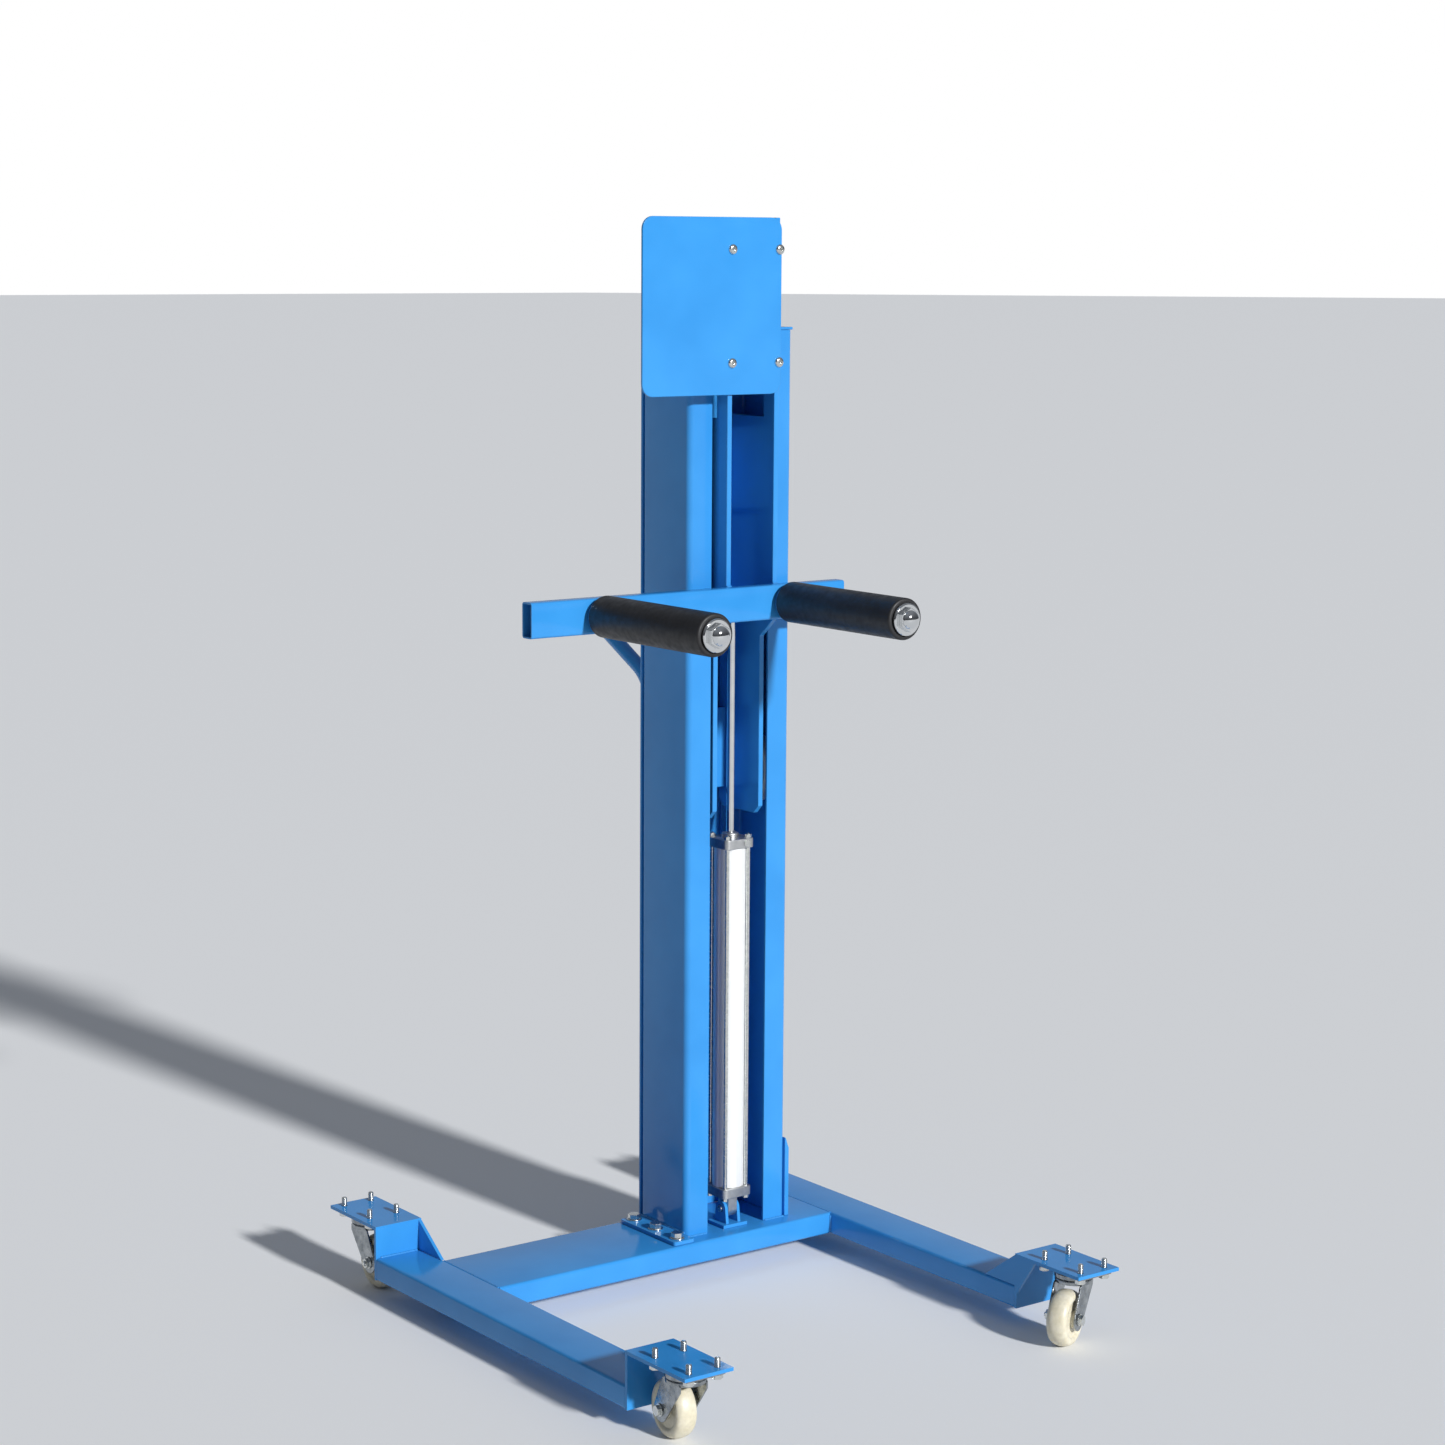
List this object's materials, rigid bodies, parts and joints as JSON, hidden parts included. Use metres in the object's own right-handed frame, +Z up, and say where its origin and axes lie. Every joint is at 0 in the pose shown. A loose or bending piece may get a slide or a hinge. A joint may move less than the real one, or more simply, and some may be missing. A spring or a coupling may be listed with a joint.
{
  "type": "wheel dolly",
  "caption": "Wheel dolly on swivel casters with a mast, an air-cylinder lift carriage and support rollers for a truck wheel.",
  "frame": {"origin": "on the floor, under the middle of the base", "axes": "+Z up, -Y to the front where the support rollers point, +X to the right seen from the front, the side the mast stands on"},
  "size_m": [0.75, 0.889, 1.556],
  "materials": {
    "blue_paint": "gloss",
    "zinc": "zinc plated",
    "chrome": "polished",
    "aluminium": "satin",
    "nylon": "satin",
    "rubber": "matt",
    "black_plastic": "satin",
    "air_hose": "satin"
  },
  "bodies": {
    "frame": {"left_rail": "blue_paint", "right_rail": "blue_paint", "cross_member": "blue_paint", "bracket_front_left": "blue_paint", "bracket_front_right": "blue_paint", "bracket_rear_left": "blue_paint", "bracket_rear_right": "blue_paint", "caster_plate_front_left": "zinc", "caster_plate_front_right": "zinc", "caster_plate_rear_left": "zinc", "caster_plate_rear_right": "zinc", "mast_post_left": "blue_paint", "mast_post_right": "blue_paint", "mast_back": "blue_paint", "mast_foot_left": "blue_paint", "mast_foot_right": "blue_paint", "push_handle": "blue_paint", "cylinder_end_cap": "aluminium", "cylinder_barrel": "aluminium", "cylinder_head": "aluminium", "cylinder_foot": "blue_paint", "cylinder_pin": "zinc", "air_valve": "aluminium", "air_inlet": "zinc", "air_elbow_high": "black_plastic", "air_elbow_low": "black_plastic", "air_tube": "air_hose"},
    "carriage": {"carriage_side_left": "blue_paint", "carriage_side_right": "blue_paint", "carriage_tie_low": "blue_paint", "carriage_tie_high": "blue_paint", "carriage_lug": "blue_paint", "crossbar": "blue_paint", "wheel_rest_panel": "blue_paint", "roller_shaft_left": "zinc", "roller_cap_left": "chrome", "roller_shaft_right": "zinc", "roller_cap_right": "chrome", "piston": "aluminium", "piston_rod": "chrome", "rod_nut": "zinc"},
    "sleeve_left": {"roller_sleeve_left": "rubber"},
    "sleeve_right": {"roller_sleeve_right": "rubber"},
    "guide_low_left": {"guide_roller_low_left": "nylon"},
    "guide_low_right": {"guide_roller_low_right": "nylon"},
    "guide_high_left": {"guide_roller_high_left": "nylon"},
    "guide_high_right": {"guide_roller_high_right": "nylon"},
    "valve_handle": {"valve_lever": "black_plastic"},
    "swivel_front_left": {"caster_fork_front_left": "zinc", "caster_axle_front_left": "zinc"},
    "swivel_front_right": {"caster_fork_front_right": "zinc", "caster_axle_front_right": "zinc"},
    "swivel_rear_left": {"caster_fork_rear_left": "zinc", "caster_axle_rear_left": "zinc"},
    "swivel_rear_right": {"caster_fork_rear_right": "zinc", "caster_axle_rear_right": "zinc"},
    "wheel_front_left": {"caster_wheel_front_left": "nylon"},
    "wheel_front_right": {"caster_wheel_front_right": "nylon"},
    "wheel_rear_left": {"caster_wheel_rear_left": "nylon"},
    "wheel_rear_right": {"caster_wheel_rear_right": "nylon"}
  },
  "joints": [
    {"name": "lift", "type": "slide", "parent": "frame", "child": "carriage", "axis": [0, 0, 1], "range_m": [-0.3, 0.11]},
    {"name": "sleeve_left_spin", "type": "hinge", "parent": "carriage", "child": "sleeve_left", "pos_m": [-0.141, -0.05, 1.007], "axis": [0, 1, 0], "continuous": true},
    {"name": "sleeve_right_spin", "type": "hinge", "parent": "carriage", "child": "sleeve_right", "pos_m": [0.186, -0.05, 1.007], "axis": [0, 1, 0], "continuous": true},
    {"name": "guide_low_left_spin", "type": "hinge", "parent": "carriage", "child": "guide_low_left", "pos_m": [0.071, 0.18785, 0.748], "axis": [1, 0, 0], "range_deg": [-125, 330]},
    {"name": "guide_low_right_spin", "type": "hinge", "parent": "carriage", "child": "guide_low_right", "pos_m": [0.205, 0.18785, 0.748], "axis": [1, 0, 0], "range_deg": [-125, 330]},
    {"name": "guide_high_left_spin", "type": "hinge", "parent": "carriage", "child": "guide_high_left", "pos_m": [0.071, 0.18785, 1.213], "axis": [1, 0, 0], "range_deg": [-330, 125]},
    {"name": "guide_high_right_spin", "type": "hinge", "parent": "carriage", "child": "guide_high_right", "pos_m": [0.205, 0.18785, 1.213], "axis": [1, 0, 0], "range_deg": [-330, 125]},
    {"name": "valve_lever_tilt", "type": "hinge", "parent": "frame", "child": "valve_handle", "pos_m": [0.138, 0.2723, 0.954], "axis": [1, 0, 0], "range_deg": [-25, 25]},
    {"name": "swivel_front_left_turn", "type": "hinge", "parent": "frame", "child": "swivel_front_left", "pos_m": [-0.3365, -0.3945, 0.09], "axis": [0, 0, 1], "continuous": true},
    {"name": "swivel_front_right_turn", "type": "hinge", "parent": "frame", "child": "swivel_front_right", "pos_m": [0.3365, -0.3945, 0.09], "axis": [0, 0, 1], "continuous": true},
    {"name": "swivel_rear_left_turn", "type": "hinge", "parent": "frame", "child": "swivel_rear_left", "pos_m": [-0.3365, 0.3945, 0.09], "axis": [0, 0, 1], "continuous": true},
    {"name": "swivel_rear_right_turn", "type": "hinge", "parent": "frame", "child": "swivel_rear_right", "pos_m": [0.3365, 0.3945, 0.09], "axis": [0, 0, 1], "continuous": true},
    {"name": "wheel_front_left_spin", "type": "hinge", "parent": "swivel_front_left", "child": "wheel_front_left", "pos_m": [-0.33336, -0.36466, 0.04], "axis": [-0.9945, 0.1045, 0], "continuous": true},
    {"name": "wheel_front_right_spin", "type": "hinge", "parent": "swivel_front_right", "child": "wheel_front_right", "pos_m": [0.30931, -0.40718, 0.04], "axis": [0.4226, -0.9063, 0], "continuous": true},
    {"name": "wheel_rear_left_spin", "type": "hinge", "parent": "swivel_rear_left", "child": "wheel_rear_left", "pos_m": [-0.3365, 0.3645, 0.04], "axis": [1, 0, 0], "continuous": true},
    {"name": "wheel_rear_right_spin", "type": "hinge", "parent": "swivel_rear_right", "child": "wheel_rear_right", "pos_m": [0.34426, 0.36552, 0.04], "axis": [0.9659, 0.2588, 0], "continuous": true}
  ],
  "couplings": [
    {"joint": "guide_low_left_spin", "follows": "lift", "rad_per_m": -19.048},
    {"joint": "guide_low_right_spin", "follows": "lift", "rad_per_m": -19.048},
    {"joint": "guide_high_left_spin", "follows": "lift", "rad_per_m": 19.048},
    {"joint": "guide_high_right_spin", "follows": "lift", "rad_per_m": 19.048}
  ]
}
